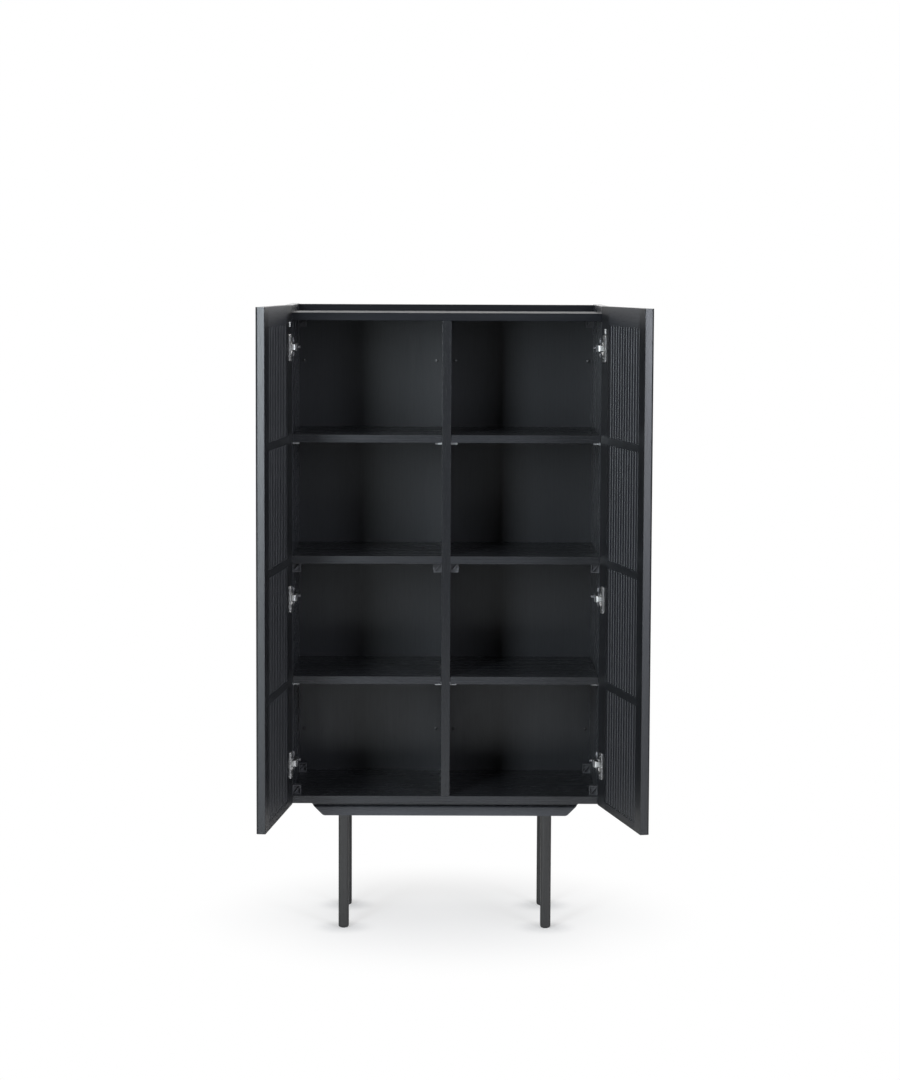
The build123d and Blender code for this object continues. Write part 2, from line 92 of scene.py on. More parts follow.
def add_node(tree, kind, inputs=None, **settings):
    """One node with its settings and input values; an input that is a socket gets linked."""
    node = tree.nodes.new(kind)
    for name, value in settings.items():
        setattr(node, name, value)
    for name, value in (inputs or {}).items():
        socket = node.inputs[name]
        if isinstance(value, bpy.types.NodeSocket):
            tree.links.new(value, socket)
        else:
            socket.default_value = value
    return node


def reckon(tree, operation, *values):
    """The result of a math node on numbers or sockets."""
    return add_node(tree, "ShaderNodeMath", dict(enumerate(values)), operation=operation).outputs[0]


def reckon_vector(tree, operation, *values):
    """The result of a vector math node; a length or a distance comes out as one number."""
    node = add_node(tree, "ShaderNodeVectorMath", dict(enumerate(values)), operation=operation)
    return node.outputs["Value" if operation in ("LENGTH", "DISTANCE") else "Vector"]


def xyz(tree, **parts):
    """A vector of X, Y and Z, each a number or a socket; a part left out is zero."""
    return add_node(tree, "ShaderNodeCombineXYZ", parts).outputs[0]


def ramp(tree, value, start, end, low=0.0, high=1.0, kind="LINEAR"):
    """Takes a value from the span start to end over into the span low to high."""
    return add_node(tree, "ShaderNodeMapRange", {
        "Value": value, "From Min": start, "From Max": end, "To Min": low, "To Max": high,
    }, interpolation_type=kind).outputs["Result"]


def cloudy(tree, place, scale, detail, **more):
    """Noise at a scale, as one number at each place."""
    return add_node(tree, "ShaderNodeTexNoise", {
        "Vector": place, "Scale": scale, "Detail": detail, **more}).outputs["Fac"]


def mixed(tree, share, first, second):
    """A colour between two others."""
    return add_node(tree, "ShaderNodeMix", {
        "Factor": share, "A": first, "B": second}, data_type="RGBA").outputs["Result"]


def add_surround(white=1.0, behind_in_gloss=1.6, front_in_gloss=0.04, all_round=0.10):
    """White to the camera, bright behind and dark in front in reflections, dim as a light."""
    world = bpy.data.worlds.new("surround")
    scene.world = world
    world.use_nodes = True
    tree = world.node_tree
    tree.nodes.clear()
    way = add_node(tree, "ShaderNodeTexCoord").outputs["Generated"]
    apart = add_node(tree, "ShaderNodeSeparateXYZ", {"Vector": way}).outputs
    reflected = ramp(tree, apart["Y"], 0.70, 0.90, front_in_gloss, behind_in_gloss, "SMOOTHSTEP")
    ray = add_node(tree, "ShaderNodeLightPath").outputs
    seen_in_gloss = reckon(tree, "MAXIMUM", ray["Is Glossy Ray"], ray["Is Transmission Ray"])
    soft = add_node(tree, "ShaderNodeMix", {
        "Factor": seen_in_gloss, "A": all_round, "B": reflected}).outputs["Result"]
    strength = add_node(tree, "ShaderNodeMix", {
        "Factor": ray["Is Camera Ray"], "A": soft, "B": white}).outputs["Result"]
    light = add_node(tree, "ShaderNodeBackground", {"Color": (1, 1, 1, 1), "Strength": strength})
    out = add_node(tree, "ShaderNodeOutputWorld")
    tree.links.new(light.outputs[0], out.inputs["Surface"])


def add_floor(reach=14.0, sides=96):
    """A round floor that fades to white away from the cabinet. Near it, and most round its feet, less of the
    white shows, so its real shadow shows and it is painted darker there.
    """
    mesh = bpy.data.meshes.new("studio_floor")
    rim = [(reach * math.cos(a), reach * math.sin(a), 0)
           for a in (2 * math.pi * step / sides for step in range(sides))]
    mesh.from_pydata(rim, [], [tuple(range(sides))])
    floor = bpy.data.objects.new("studio_floor", mesh)
    scene.collection.objects.link(floor)
    paint = bpy.data.materials.new("studio_floor_paint")
    paint.use_nodes = True
    tree = paint.node_tree
    tree.nodes.clear()
    place = add_node(tree, "ShaderNodeTexCoord").outputs["Object"]
    # Near the cabinet less of the plain white shows, so the matt floor's real shadow shows through and the
    # floor is painted a little darker there.
    plain_share = ramp(tree, reckon_vector(tree, "LENGTH", place), 0.15, 0.70, 0.70, 1.0, "SMOOTHSTEP")
    low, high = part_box("front_right_leg")
    foot = ((low.x + high.x) / 2, -(low.y + high.y) / 2, 0)
    from_foot = reckon_vector(tree, "DISTANCE", reckon_vector(tree, "ABSOLUTE", place), foot)
    # Painted shade round each foot: close to a foot even less of the white shows, so the floor is darker
    # there.
    painted_foot_shade = ramp(tree, from_foot, 0.01, 0.09, 0.60, 1.0, "SMOOTHSTEP")
    plain_share = reckon(tree, "MULTIPLY", plain_share, painted_foot_shade)
    tint = mixed(tree, cloudy(tree, place, 3.0, 2.0), (0.82, 0.80, 0.785, 1), (0.85, 0.83, 0.815, 1))
    matt = add_node(tree, "ShaderNodeBsdfDiffuse", {"Color": tint})
    plain = add_node(tree, "ShaderNodeEmission", {"Color": (1, 1, 1, 1), "Strength": 1.0})
    seen = add_node(tree, "ShaderNodeLightPath").outputs["Is Camera Ray"]
    whole = add_node(tree, "ShaderNodeMixShader", {"Fac": reckon(tree, "MULTIPLY", plain_share, seen)})
    tree.links.new(matt.outputs[0], whole.inputs[1])
    tree.links.new(plain.outputs[0], whole.inputs[2])
    out = add_node(tree, "ShaderNodeOutputMaterial")
    tree.links.new(whole.outputs[0], out.inputs["Surface"])
    mesh.materials.append(paint)
    floor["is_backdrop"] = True


def add_soft_box(name, bearing, distance, wide, tall, middle, glow, tint):
    """A soft box at a bearing from straight ahead, its glow given as brightness against white."""
    lamp = bpy.data.lights.new(name, "AREA")
    lamp.shape = "RECTANGLE"
    lamp.size, lamp.size_y = wide, tall
    lamp.energy = glow * math.pi * wide * tall
    lamp.color = tint
    box = bpy.data.objects.new(name, lamp)
    angle = math.radians(bearing)
    box.location = (distance * math.sin(angle), -distance * math.cos(angle), middle)
    box.rotation_euler = (math.radians(90), 0, angle)
    scene.collection.objects.link(box)
    box.visible_camera = False
    return box


add_camera()
add_surround()
add_floor()
left_tint, right_tint, white_tint = (0.86, 0.94, 1.0), (0.87, 0.91, 1.0), (1.0, 1.0, 1.0)
for part, low, high, left_glow, right_glow in (
        ("low", 0.05, 0.65, 5.4, 2.7), ("middle", 0.65, 1.25, 10.8, 4.4), ("high", 1.25, 3.30, 30.0, 17.6)):
    tall, middle = high - low, (low + high) / 2
    add_soft_box("left_soft_box_" + part, -23.3, 4.2, 0.74, tall, middle, left_glow, left_tint)
    add_soft_box("right_soft_box_" + part, 30.5, 4.25, 0.85, tall, middle, right_glow, right_tint)
overhead = add_soft_box("overhead_soft_box", 0, 0.4, 3.2, 3.2, 3.8, 2.0, white_tint)
overhead.rotation_euler = (0, 0, 0)


# ---- Leg frame ----
# Turned-edge legs and shaped rails of solid wood, stained black and given a satin lacquer.
# The rails are screwed up into the carcass, and each leg sits on a stud under its rail.
def new_finish(name):
    """An empty finish: its material, its tree and the object coordinates at each point."""
    finish = bpy.data.materials.new(name)
    finish.use_nodes = True
    tree = finish.node_tree
    return finish, tree, add_node(tree, "ShaderNodeTexCoord").outputs["Object"]


def fill_finish(tree, colour, rough, height, strength, distance):
    """Links colour, roughness and bump to the finish's shader, and gives the shader's inputs."""
    bump = add_node(tree, "ShaderNodeBump", {"Height": height, "Strength": strength, "Distance": distance})
    shader = tree.nodes["Principled BSDF"].inputs
    tree.links.new(colour, shader["Base Color"])
    tree.links.new(rough, shader["Roughness"])
    tree.links.new(bump.outputs["Normal"], shader["Normal"])
    return shader


def between(colour, dark, light):
    """Darker and lighter shades of a colour, each at most white."""
    return [[min(1, part * by) for part in colour] + [1] for by in (dark, light)]


def black_wood(name, grain, dark, light, gloss, turned=0.0, tint=(0.95, 1.0, 1.14), relief=0.08):
    """Stained and lacquered wood whose grain runs along x, y or z, turned about the upright."""
    finish, tree, place = new_finish(name)
    piece = add_node(tree, "ShaderNodeAttribute", attribute_name="piece_number").outputs["Fac"]
    squared = add_node(tree, "ShaderNodeMapping", {"Vector": place, "Rotation": (0, 0, -turned)})
    squared = reckon_vector(tree, "ADD", squared.outputs[0], xyz(tree, X=piece, Y=piece, Z=piece))

    def stretched(across, along):
        scale = [across, across, across]
        scale["xyz".index(grain)] = along
        return add_node(tree, "ShaderNodeMapping", {"Vector": squared, "Scale": scale}).outputs[0]

    figure = cloudy(tree, stretched(14, 0.9), 1.0, 3.0, Distortion=0.4)
    streaks = cloudy(tree, stretched(170, 3.0), 1.0, 5.0, Roughness=0.65)
    pits = ramp(tree, cloudy(tree, stretched(950, 26), 1.0, 2.0), 0.56, 0.70)
    blend = add_node(tree, "ShaderNodeMix", {"Factor": 0.55, "A": figure, "B": streaks}).outputs["Result"]
    blend = ramp(tree, blend, 0.34, 0.66)
    colour = mixed(tree, blend, *between(tint, dark, light))
    pit_shade = reckon(tree, "MULTIPLY", pits, 0.4)
    colour = mixed(tree, pit_shade, colour, (0.003, 0.003, 0.0035, 1))
    rough = ramp(tree, blend, 0.0, 1.0, gloss + 0.03, gloss - 0.03)
    rough = reckon(tree, "MULTIPLY_ADD", pit_shade, 0.15, rough)
    raised = reckon(tree, "MULTIPLY_ADD", pits, -1.0, streaks)
    fill_finish(tree, colour, rough, raised, strength=relief, distance=0.0002)
    return finish


def metal(name, colour, rough, worn=0.08):
    """Plated steel with fine polishing marks and slightly uneven gloss."""
    finish, tree, place = new_finish(name)
    fine = add_node(tree, "ShaderNodeMapping", {"Vector": place, "Scale": (900.0, 900.0, 100.0)}).outputs[0]
    marks = cloudy(tree, fine, 1.0, 3.0)
    cloud = cloudy(tree, place, 120.0, 4.0)
    tone = mixed(tree, cloud, *between(colour, 0.92, 1.05))
    rough_here = ramp(tree, cloud, 0.3, 0.7, rough - worn, rough + worn)
    shader = fill_finish(tree, tone, rough_here, marks, strength=0.12, distance=0.0001)
    shader["Metallic"].default_value = 1.0
    return finish


def plastic(name, colour, rough):
    """Moulded plastic with a fine eroded texture and faint flow marks."""
    finish, tree, place = new_finish(name)
    flow = cloudy(tree, place, 70.0, 3.0)
    tone = mixed(tree, flow, *between(colour, 0.8, 1.2))
    rough_here = ramp(tree, flow, 0.0, 1.0, rough - 0.08, rough + 0.08)
    grain = cloudy(tree, place, 2600.0, 1.0)
    fill_finish(tree, tone, rough_here, grain, strength=0.2, distance=0.0001)
    return finish


def finish_nodes(finish, *names):
    """Gives CAD nodes their finish in their own material slots."""
    for name in names:
        slots = nodes[name].data.materials
        for index in range(len(slots)):
            slots[index] = finish
        if not slots:
            slots.append(finish)


leg_wood = black_wood("black_leg_wood", "z", dark=0.024, light=0.034, gloss=0.30, tint=(1.04, 1.0, 0.96))
finish_nodes(leg_wood, "front_left_leg", "front_right_leg", "rear_left_leg", "rear_right_leg")
base_rail_wood = black_wood("black_rail_wood", "x", dark=0.036, light=0.048, gloss=0.27)
finish_nodes(base_rail_wood, "front_base_rail", "rear_base_rail")
side_rail_wood = black_wood("black_side_rail_wood", "y", dark=0.036, light=0.048, gloss=0.27)
finish_nodes(side_rail_wood, "side_base_rails")
zinc_steel = metal("zinc_steel", (0.60, 0.61, 0.62), 0.30)
finish_nodes(zinc_steel, "leg_studs")
finish_nodes(plastic("black_glide_plastic", (0.03, 0.03, 0.032), 0.5), "foot_glides")


# ---- Screws ----
# Cross-head steel screws with low domed heads: zinc plated up through the base rails and through the
# back panel, blackened in the corner blocks, and in darker steels in the hinges. Each head is pressed with a
# cross recess.
def new_tree(name, inputs):
    """An empty Geometry Nodes tree with named inputs; gives it, its inputs and its output."""
    tree = bpy.data.node_groups.new(name, "GeometryNodeTree")
    tree.interface.new_socket("Geometry", in_out="INPUT", socket_type="NodeSocketGeometry")
    for label, kind in inputs.items():
        tree.interface.new_socket(label, in_out="INPUT", socket_type="NodeSocket" + kind)
    tree.interface.new_socket("Geometry", in_out="OUTPUT", socket_type="NodeSocketGeometry")
    return tree, tree.nodes.new("NodeGroupInput").outputs, tree.nodes.new("NodeGroupOutput").inputs[0]


def grown(name, tree, points, values, sharp=35):
    """Runs a tree on a mesh of points and keeps the result as a plain mesh."""
    start = bpy.data.objects.new(name + "_points", points)
    scene.collection.objects.link(start)
    growth = start.modifiers.new("growth", "NODES")
    growth.node_group = tree
    for socket in tree.interface.items_tree:
        if socket.in_out == "INPUT" and socket.name in values:
            growth[socket.identifier] = values[socket.name]
    depsgraph = bpy.context.evaluated_depsgraph_get()
    mesh = bpy.data.meshes.new_from_object(start.evaluated_get(depsgraph), depsgraph=depsgraph)
    bpy.data.objects.remove(start)
    mesh.name = name
    return shaded(name, mesh, sharp)


def shaded(name, mesh, sharp=35):
    """Puts a finished mesh in the scene, smooth except at edges sharper than an angle."""
    mesh.shade_smooth()
    mesh.set_sharp_from_angle(angle=math.radians(sharp))
    piece = bpy.data.objects.new(name, mesh)
    scene.collection.objects.link(piece)
    return piece


def points_mesh(name, places, outward):
    """Loose points, each with the way that its piece faces."""
    mesh = bpy.data.meshes.new(name)
    mesh.from_pydata([tuple(p) for p in places], [], [])
    facing = mesh.attributes.new("facing", "FLOAT_VECTOR", "POINT")
    facing.data.foreach_set("vector", [c for way in outward for c in way])
    return mesh


def corners_box(corners):
    """Lowest and highest corner of the box round some points."""
    corners = list(corners)
    return tuple(Vector(pick(c[i] for c in corners) for i in range(3)) for pick in (min, max))


def loose_boxes(name, into=Matrix.Identity(4)):
    """Lowest and highest corner of each separate solid of a CAD node, after a change of place."""
    mesh = nodes[name].data
    keys = [tuple(round(c, 5) for c in v.co) for v in mesh.vertices]
    owner = {key: key for key in keys}

    def root(key):
        while owner[key] != key:
            owner[key] = owner[owner[key]]
            key = owner[key]
        return key

    for face in mesh.polygons:
        first, *others = (root(keys[v]) for v in face.vertices)
        for other in others:
            owner[root(other)] = root(first)
    groups = {}
    for key in owner:
        groups.setdefault(root(key), []).append(into @ Vector(key))
    boxes = [corners_box(corners) for corners in groups.values()]
    return sorted(boxes, key=lambda box: tuple(round(c, 4) for c in box[0]))


def moved(tree, piece, **how):
    """A piece after a Translation, a Rotation or both."""
    return add_node(tree, "GeometryNodeTransform", {"Geometry": piece, **how}).outputs[0]


def joined(tree, *pieces):
    """Several pieces as one."""
    whole = add_node(tree, "GeometryNodeJoinGeometry")
    for piece in pieces:
        tree.links.new(piece, whole.inputs[0])
    return whole.outputs[0]


def carved(tree, body, *cutters):
    """A body with the cutters taken away from it."""
    cut = add_node(tree, "GeometryNodeMeshBoolean", {"Mesh 1": body}, operation="DIFFERENCE")
    for cutter in cutters:
        tree.links.new(cutter, cut.inputs["Mesh 2"])
    return cut.outputs["Mesh"]


def domed(tree, disc, radius, height, fall):
    """A disc on its foot, its top lowered by a share of its height; fall gives it from the radius."""
    place = add_node(tree, "GeometryNodeInputPosition").outputs[0]
    apart = add_node(tree, "ShaderNodeSeparateXYZ", {0: place}).outputs
    out = reckon_vector(tree, "LENGTH", xyz(tree, X=apart["X"], Y=apart["Y"]))
    share = reckon(tree, "ADD", reckon(tree, "DIVIDE", apart["Z"], height), 0.5)
    drop = reckon(tree, "MULTIPLY", reckon(tree, "MULTIPLY", fall(out), share), height)
    head = add_node(tree, "GeometryNodeSetPosition", {"Geometry": disc, "Offset": xyz(tree, Z=drop)})
    return moved(tree, head.outputs[0], Translation=xyz(tree, Z=reckon(tree, "MULTIPLY", height, 0.5)))


def set_down(tree, given, piece):
    """A copy of a piece on each point of the tree's mesh, with its top turned the point's way."""
    facing = add_node(tree, "GeometryNodeInputNamedAttribute", {"Name": "facing"}, data_type="FLOAT_VECTOR")
    turn = add_node(tree, "FunctionNodeAlignRotationToVector", {
        "Vector": facing.outputs["Attribute"]}, axis="Z")
    return add_node(tree, "GeometryNodeInstanceOnPoints", {
        "Points": given["Geometry"], "Instance": piece, "Rotation": turn.outputs[0]}).outputs[0]


def finished(tree, given, made, piece):
    """Ends a tree: the piece becomes plain mesh and takes its finish."""
    plain = add_node(tree, "GeometryNodeRealizeInstances", {"Geometry": piece}).outputs[0]
    done = add_node(tree, "GeometryNodeSetMaterial", {"Geometry": plain, "Material": given["Finish"]})
    tree.links.new(done.outputs[0], made)
    return tree


def screw_tree():
    """Screws with a low domed head, a cross recess and a tapered shank, turned at random."""
    tree, given, made = new_tree("cross_head_screws", {
        "Head Radius": "Float", "Head Height": "Float", "Recess Reach": "Float",
        "Recess Width": "Float", "Shank Radius": "Float", "Shank Length": "Float",
        "Spin Seed": "Int", "Finish": "Material"})
    radius, height = given["Head Radius"], given["Head Height"]
    disc = add_node(tree, "GeometryNodeMeshCylinder", {
        "Vertices": 28, "Side Segments": 3, "Fill Segments": 4, "Radius": radius, "Depth": height})

    def fall(out):
        curve = reckon(tree, "POWER", reckon(tree, "DIVIDE", out, radius), 2.4)
        return reckon(tree, "MULTIPLY", curve, -0.62)

    head = domed(tree, disc.outputs["Mesh"], radius, height, fall)
    long = reckon(tree, "MULTIPLY", given["Recess Reach"], 2.0)
    bar = add_node(tree, "GeometryNodeMeshCube", {
        "Size": xyz(tree, X=long, Y=given["Recess Width"], Z=height)}).outputs["Mesh"]
    bars = [moved(tree, bar, Translation=xyz(tree, Z=height), Rotation=(0, 0, turned))
            for turned in (0.0, math.pi / 2)]
    shank = add_node(tree, "GeometryNodeMeshCone", {
        "Vertices": 14, "Side Segments": 1, "Depth": given["Shank Length"],
        "Radius Top": reckon(tree, "MULTIPLY", given["Shank Radius"], 0.35),
        "Radius Bottom": given["Shank Radius"]}).outputs["Mesh"]
    shank = moved(tree, shank, Rotation=(math.pi, 0, 0))
    spread = set_down(tree, given, joined(tree, shank, carved(tree, head, *bars)))
    spin = add_node(tree, "FunctionNodeRandomValue", {"Seed": given["Spin Seed"]}, data_type="FLOAT")
    spin.inputs["Max"].default_value = math.pi / 2
    spread = add_node(tree, "GeometryNodeRotateInstances", {
        "Instances": spread, "Rotation": xyz(tree, Z=spin.outputs["Value"])}).outputs[0]
    return finished(tree, given, made, spread)


screws = screw_tree()
spin_seeds = itertools.count(4)


def into_compartment(place):
    """The way from a side panel or the divider to the middle of the compartment beside it."""
    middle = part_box("right_side_panel")[0].x / 2
    return Vector((math.copysign(1, place.x) * (1 if abs(place.x) < middle else -1), 0, 0))


def add_screws(node, body, outward, cad_head, head, into=Matrix.Identity(4), finish=zinc_steel):
    """Replaces a CAD node of plain screws by cross-headed ones, each seated under its CAD head."""
    back = into.inverted()
    seats, ways, longest = [], [], 0.0
    for low, high in loose_boxes(node, into):
        middle = (low + high) / 2
        way = Vector(outward) if outward else into_compartment(middle)
        axis = max(range(3), key=lambda i: abs(way[i]))
        middle[axis] = (high if way[axis] > 0 else low)[axis]
        longest = max(longest, high[axis] - low[axis] - cad_head)
        seats.append(back @ (middle - way * cad_head))
        ways.append(back.to_3x3() @ way)
    piece = grown(node + "_cross_headed", screws, points_mesh(node, seats, ways), {
        **head, "Shank Length": longest, "Spin Seed": next(spin_seeds), "Finish": finish})
    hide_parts(node)
    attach(piece, body)


def screw_head(radius, height, recess_reach, recess_width, shank_radius):
    """Sizes of one kind of screw, by the names of the tree's inputs."""
    return {"Head Radius": radius, "Head Height": height, "Recess Reach": recess_reach,
            "Recess Width": recess_width, "Shank Radius": shank_radius}


base_head = screw_head(0.0045, 0.003, 0.0026, 0.0009, 0.0022)
small_head = screw_head(0.004, 0.0016, 0.0023, 0.0008, 0.0019)
blackened_steel = metal("blackened_screw_steel", (0.07, 0.07, 0.075), 0.5)
add_screws("base_screws", "carcass", (0, 0, -1), 0.003, base_head)
add_screws("back_panel_screws", "carcass", (0, 1, 0), 0.0016, small_head)
add_screws("corner_block_screws", "carcass", None, 0.0016, small_head, finish=blackened_steel)


# ---- Carcass boards ----
# Veneered boards with a thin edge band along the front, doweled at the corners. The grain runs
# up the sides and the divider, and across the top, the bottom and the shelves.
# The side panels take a lighter veneer than the other boards, a painted reflection for the light their inner
# faces catch.
side_painted_light_veneer = black_wood("black_veneer_upright", "z", dark=0.028, light=0.041, gloss=0.27)
level_veneer = black_wood("black_veneer_across", "x", dark=0.015, light=0.019, gloss=0.27, relief=0.015)
finish_nodes(side_painted_light_veneer, "left_side_panel", "right_side_panel")
# The divider takes a much darker veneer than the sides, a painted shade that holds back the light it gets
# from the low soft boxes and the floor.
divider_painted_shade_veneer = black_wood("black_divider_veneer", "z", dark=0.009, light=0.013, gloss=0.24)
finish_nodes(divider_painted_shade_veneer, "centre_divider")
finish_nodes(level_veneer, "bottom_panel", "left_fixed_shelf", "right_fixed_shelf", "lower_left_shelf",
             "lower_right_shelf", "upper_left_shelf", "upper_right_shelf")
top_veneer = black_wood("black_top_veneer", "x", dark=0.012, light=0.017, gloss=0.38)
top_veneer.node_tree.nodes["Principled BSDF"].inputs["Specular IOR Level"].default_value = 0.04
finish_nodes(top_veneer, "top_panel", "tray_back_rim")
raw_beech = black_wood("raw_beech_dowels", "x", dark=0.40, light=0.52, gloss=0.6)
finish_nodes(raw_beech, "carcass_dowels")


# ---- Back panel ----
# A thinner veneered panel let in between the sides, screwed to the divider and the fixed shelves.
# Domed plastic caps cover the holes of its fixings beside the sides and the divider.
back_veneer = black_wood("black_back_panel", "z", dark=0.0145, light=0.020, gloss=0.31, relief=0.05)
finish_nodes(back_veneer, "back_panel")
black_plastic = plastic("black_cap_plastic", (0.004, 0.004, 0.0045), 0.35)


def cap_tree():
    """Round caps with a domed top, one on each point."""
    tree, given, made = new_tree("domed_caps", {
        "Radius": "Float", "Height": "Float", "Finish": "Material"})
    disc = add_node(tree, "GeometryNodeMeshCylinder", {
        "Vertices": 32, "Side Segments": 2, "Fill Segments": 6, "Radius": given["Radius"],
        "Depth": given["Height"]})

    def fall(out):
        return ramp(tree, out, 0.0, given["Radius"], 0.0, -0.6, "SMOOTHSTEP")

    cap = domed(tree, disc.outputs["Mesh"], given["Radius"], given["Height"], fall)
    return finished(tree, given, made, set_down(tree, given, cap))


cap_places = [Vector(((low.x + high.x) / 2, high.y, (low.z + high.z) / 2))
              for low, high in loose_boxes("back_screw_caps")]
caps = grown("back_screw_domed_caps", cap_tree(), points_mesh(
    "cap_places", cap_places, [Vector((0, -1, 0))] * len(cap_places)), {
        "Radius": 0.005, "Height": 0.0012, "Finish": black_plastic})
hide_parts("back_screw_caps")
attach(caps, "carcass")


# ---- Corner blocks ----
# Moulded black plastic blocks that tie the fixed boards together, hollow at the front with a
# slanting rib inside. A screw through each one goes into the side panel or the divider.
def block_tree():
    """Blocks with a hollow in the front and a slanting rib across it, one on each point."""
    tree, given, made = new_tree("ribbed_blocks", {
        "Size": "Vector", "Wall": "Float", "Hollow Depth": "Float", "Rib": "Float",
        "Lean": "Float", "Finish": "Material"})

    def cube(size):
        return add_node(tree, "GeometryNodeMeshCube", {"Size": size}).outputs["Mesh"]

    apart = add_node(tree, "ShaderNodeSeparateXYZ", {0: given["Size"]}).outputs
    walls = reckon(tree, "MULTIPLY", given["Wall"], -2.0)
    wide = reckon(tree, "ADD", apart["X"], walls)
    tall = reckon(tree, "ADD", apart["Z"], walls)
    deep = reckon(tree, "MULTIPLY", given["Hollow Depth"], 2.0)
    front = xyz(tree, Y=reckon(tree, "MULTIPLY", apart["Y"], -0.5))
    hollow = moved(tree, cube(xyz(tree, X=wide, Y=deep, Z=tall)), Translation=front)
    shell = carved(tree, cube(given["Size"]), hollow)
    reach = reckon_vector(tree, "LENGTH", given["Size"])
    rib = cube(xyz(tree, X=reach, Y=reckon(tree, "MULTIPLY", deep, 0.7), Z=given["Rib"]))
    leaning = moved(tree, rib, Rotation=xyz(tree, Y=given["Lean"]))
    set_back = reckon_vector(tree, "MULTIPLY", front, (0.82, 0.82, 0.82))
    leaning = moved(tree, leaning, Translation=set_back)
    kept = add_node(tree, "GeometryNodeMeshBoolean", operation="INTERSECT")
    tree.links.new(leaning, kept.inputs["Mesh 2"])
    tree.links.new(hollow, kept.inputs["Mesh 2"])
    whole = joined(tree, kept.outputs["Mesh"], shell)
    spread = add_node(tree, "GeometryNodeInstanceOnPoints", {
        "Points": given["Geometry"], "Instance": whole}).outputs[0]
    return finished(tree, given, made, spread)


block_boxes = loose_boxes("corner_blocks")
block_middles = [(low + high) / 2 for low, high in block_boxes]
block_size = block_boxes[0][1] - block_boxes[0][0]
blocks = grown("ribbed_corner_blocks", block_tree(), points_mesh(
    "block_places", block_middles, [into_compartment(middle) for middle in block_middles]), {
        "Size": block_size, "Wall": 0.0022, "Hollow Depth": 0.006, "Rib": 0.0018,
        "Lean": math.radians(-49), "Finish": plastic("block_plastic", (0.050, 0.050, 0.054), 0.60)})
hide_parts("corner_blocks")
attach(blocks, "carcass")


# ---- Shelf pins ----
# Zinc-plated pegs in the side panels and the divider, each with a flat tab under a loose shelf.
# The CAD pegs stay, in plated steel a little brighter than the screws'.
finish_nodes(metal("zinc_shelf_pins", (0.66, 0.67, 0.68), 0.34), "shelf_pins")


# ---- Door frames ----
# Each door is a frame of solid stiles with a rounded outer edge and crosspieces between them,
# one in front of each shelf, all stained black. The stiles' grain runs up and the rails' across.
def local_box(name, into):
    """Lowest and highest corner of a whole CAD node, after a change of place."""
    return corners_box(into @ v.co for v in nodes[name].data.vertices)


def hung(side):
    """Place of a door on its hinge (u from the hinge edge, v from the inner face, z up) and its turn."""
    joint = next(j for j in frame["joints"] if j["name"] == side + "_door_hinge")
    pivot = Matrix.Translation(joint["pos_m"])
    open_by = -math.radians(joint["range_deg"][0])
    opening = pivot @ Matrix.Rotation(open_by, 4, Vector(joint["axis"])) @ pivot.inverted()
    shut = opening.inverted()
    low, high = local_box(side + "_door_hinge_stile", shut)
    way, edge = (-1, high.x) if side == "right" else (1, low.x)
    local = Matrix(((way, 0, 0, edge), (0, -1, 0, high.y), (0, 0, 1, 0), (0, 0, 0, 1)))
    return opening @ local, open_by * joint["axis"][2]


doors = {}
upright_solid = black_wood("black_stile_wood", "z", dark=0.009, light=0.014, gloss=0.34)
for side in ("left", "right"):
    doors[side], turned = hung(side)
    door = side + "_door_"
    # The top rails take a lighter copy of the rail wood, a painted highlight for the light that falls on
    # them from above.
    top_rail_painted_light_wood = black_wood(
        door + "top_rail_painted_light_wood", "x", dark=0.026, light=0.036, gloss=0.40, turned=turned)
    rail_wood = black_wood(door + "rail_wood", "x", dark=0.012, light=0.018, gloss=0.40, turned=turned)
    finish_nodes(upright_solid, door + "hinge_stile", door + "free_stile")
    finish_nodes(top_rail_painted_light_wood, door + "top_rail")
    finish_nodes(rail_wood, door + "bottom_rail", door + "mid_rails")


